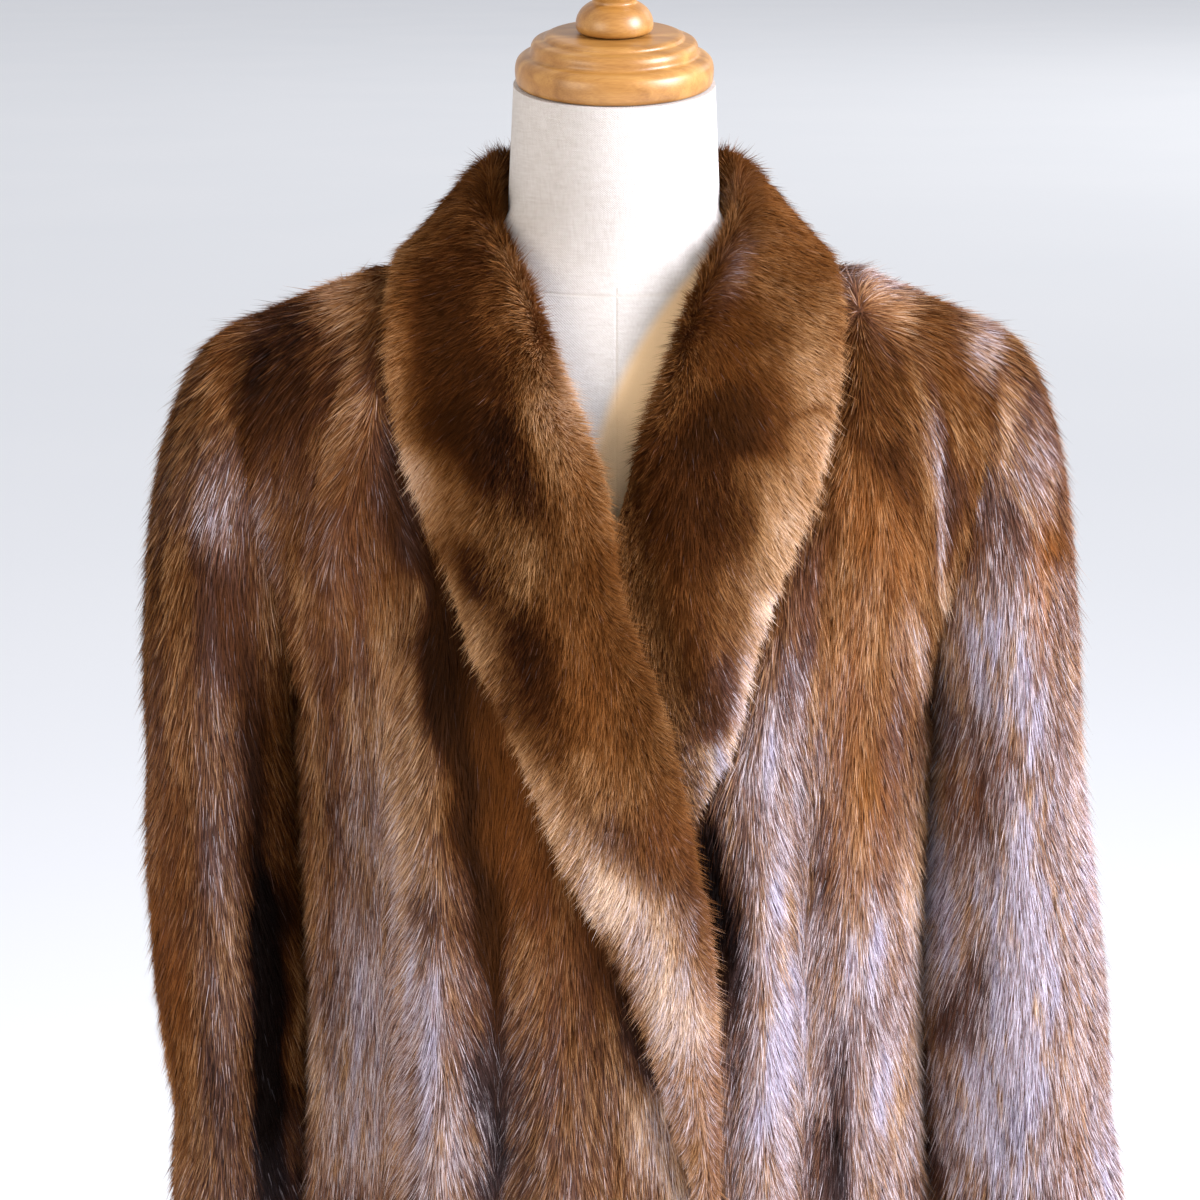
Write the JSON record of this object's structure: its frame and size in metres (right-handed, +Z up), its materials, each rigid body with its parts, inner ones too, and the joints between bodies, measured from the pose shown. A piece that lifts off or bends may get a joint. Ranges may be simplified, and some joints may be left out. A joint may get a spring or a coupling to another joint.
{
  "type": "fur coat on a dress form",
  "caption": "Brown mink coat with a wide shawl collar and a lapped front, worn by a limbless linen dress form on a round stand.",
  "frame": {"origin": "centre of the stand base's underside, where the stand rests on the floor", "axes": "+Z up, the coat's front faces -Y, the wearer's right arm is at -X"},
  "size_m": [0.5654, 0.3963, 1.5219],
  "materials": {
    "mink_fur": "let-out mink pelts, glossy guard hair over dense underfur",
    "form_linen": "unbleached linen, matt",
    "turned_wood": "turned, honey-coloured, satin lacquer",
    "pole_steel": "drawn tube, satin",
    "base_paint": "powder coated, light grey"
  },
  "bodies": {
    "root": {"front_right": "mink_fur", "front_left": "mink_fur", "back": "mink_fur", "sleeve_right": "mink_fur", "sleeve_left": "mink_fur", "collar_right": "mink_fur", "collar_left": "mink_fur", "dress_form": "form_linen", "neck_cap": "turned_wood", "finial": "turned_wood", "stand_pole": "pole_steel", "stand_base": "base_paint"}
  },
  "joints": []
}
